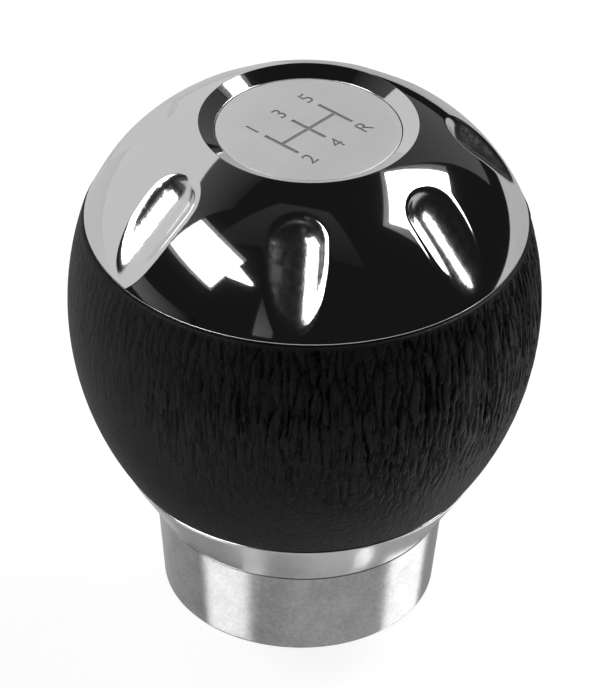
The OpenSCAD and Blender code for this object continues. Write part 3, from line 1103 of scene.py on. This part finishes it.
def make_hub():
    neck = thread_rows(THREAD_RADIUS, HUB_FOOT + CHAMFER, COLLAR_TOP - THREAD_ROWS)
    corners = [(SOCKET_RADIUS, HUB_FOOT, 0), (THREAD_RADIUS - CHAMFER, HUB_FOOT, 0), *neck,
               (THREAD_RADIUS, COLLAR_TOP, 0), (FLANGE_RADIUS, COLLAR_TOP, 0), (FLANGE_RADIUS, FLANGE_TOP, 0),
               (STEM_RADIUS, FLANGE_TOP, 0), (STEM_RADIUS, STEM_TOP, 0.3 * MM),
               (SCREW_RADIUS, STEM_TOP, 0), (SCREW_RADIUS, SOCKET_TOP, 0), (SOCKET_RADIUS, SOCKET_TOP, 0)]
    machined = plain_finish("machined_steel", (0.56, 0.56, 0.57), 0.32, 1500, 0.000005, metallic=1.0)
    piece = spin_outline("threaded_hub", outline(corners), HUB_STEPS, machined)
    data = piece.data
    points = read_points(data)
    cut = np.abs(from_axis(points) - THREAD_RADIUS) < ON_FACE
    cut &= points[:, 2] < COLLAR_TOP - THREAD_END
    threaded = points[cut]
    low, high = HUB_FOOT - THREAD_RUN_IN, COLLAR_TOP - THREAD_RUN_IN
    sink_radially(threaded, THREAD_DEPTH * thread_groove(threaded, low, high))
    points[cut] = threaded
    stem = points[:, 2] > FLANGE_TOP + TOUCHING
    points[stem, 0] = np.clip(points[stem, 0], -STEM_FLAT, STEM_FLAT)
    data.vertices.foreach_set("co", points.ravel())
    drop_outline_values(data)
    drill_grub_holes(piece)
    piece.data.set_sharp_from_angle(angle=math.radians(40))
    set_on(piece, "knob", "hub")


make_hub()

# %% [markdown]
# The disc
#
# A satin aluminium disc is stuck into the cap's recess. It carries the usual shift pattern of a five-speed
# gearbox, engraved a tenth of a millimetre deep: lines and numbers are made as thin solids and taken out of
# the disc. The cut floor is given a darker colour than the top.

# %% Disc finish
def disc_finish(name, low, high):
    """Fine satin aluminium: brushed one way, clear anodised."""
    graph = Graph(name, metallic=0.35)
    brushed = graph.noise(graph.stretched((400, 9000, 400)), 1.0, detail=2.0)
    cloud = graph.noise(graph.place(), 260, detail=2.0)
    values = {"Base Color": graph.tint(brushed * 0.5 + cloud * 0.5, low, high),
              "Roughness": brushed * 0.1 + 0.42,
              "Normal": graph.bump(brushed, 0.000003)}
    graph.fill(graph.shader, values)
    return graph.material


# %% Shift pattern
COLUMN = 4.1 * MM
ROW = 2.1 * MM
STROKE = 0.42 * MM
NUMBER = 2.5 * MM
ENGRAVED = 0.1 * MM
ASKEW = 0.003 * MM
GATE = ((-1, 1), (-1, -1), (0, 1), (0, -1), (1, 1), (1, -1))


def add_bar(mesh, centre, size):
    place = Matrix.Translation((centre[0], centre[1], disc_top)) @ Matrix.Diagonal((*size, 2 * ENGRAVED, 1))
    bmesh.ops.create_cube(mesh, size=1.0, matrix=place)


def add_number(mesh, text, centre):
    """A number as a thin solid, centred on a place of the pattern."""
    letter = bpy.data.curves.new("number", "FONT")
    letter.body = text
    letter.size = NUMBER
    letter.align_x = "CENTER"
    letter.align_y = "CENTER"
    letter.extrude = ENGRAVED
    letter.resolution_u = 6
    sign = bpy.data.objects.new("number", letter)
    bpy.context.scene.collection.objects.link(sign)
    solid = finished_mesh(sign)
    solid.transform(Matrix.Translation((centre[0], centre[1], disc_top)))
    before = len(mesh.verts)
    mesh.from_mesh(solid)
    mesh.verts.ensure_lookup_table()
    bmesh.ops.remove_doubles(mesh, verts=mesh.verts[before:], dist=TOUCHING)
    bpy.data.objects.remove(sign)


def shift_pattern(material):
    """The lines of the gate and the numbers at their ends, as one cutting piece."""
    mesh = bmesh.new()
    for column in (-COLUMN, 0, COLUMN):
        add_bar(mesh, (column, 0), (STROKE, 2 * ROW + STROKE))
    add_bar(mesh, (0, ASKEW), (2 * COLUMN + 0.9 * STROKE, STROKE))
    for number, (column, row) in zip("12345R", GATE):
        add_number(mesh, number, (column * COLUMN, row * (ROW + 0.75 * NUMBER)))
    for face in mesh.faces:
        face.material_index = 1
    return new_object("pattern", mesh, material)


# %% The disc's mesh
def make_disc():
    low, high = foot("badge_disc"), head("badge_disc")
    mesh = bmesh.new()
    made = bmesh.ops.create_circle(mesh, cap_ends=True, radius=DISC_RADIUS, segments=180)
    bmesh.ops.translate(mesh, verts=made["verts"], vec=(0, 0, low))
    grown = bmesh.ops.extrude_face_region(mesh, geom=mesh.faces[:])
    top = [item for item in grown["geom"] if isinstance(item, bmesh.types.BMVert)]
    bmesh.ops.translate(mesh, verts=top, vec=(0, 0, high - low))
    rim = [edge for edge in mesh.edges if all(abs(v.co.z - high) < TOUCHING for v in edge.verts)]
    bmesh.ops.bevel(mesh, geom=rim, offset=0.12 * MM, segments=3, profile=0.5, affect="EDGES", material=-1)
    bmesh.ops.recalc_face_normals(mesh, faces=mesh.faces[:])
    for face in mesh.faces:
        face.smooth = True
    satin = disc_finish("satin_disc", (0.69, 0.69, 0.70), (0.83, 0.83, 0.84))
    piece = new_object("shift_disc", mesh, satin)
    floor = disc_finish("engraved_floor", (0.30, 0.30, 0.31), (0.38, 0.38, 0.39))
    piece.data.materials.append(floor)
    cutter = shift_pattern(satin)
    cutter.data.materials.append(floor)
    cut_out(piece, cutter, overlapping=True)
    piece.data.set_sharp_from_angle(angle=math.radians(35))
    set_on(piece, "knob", "badge_disc")


make_disc()
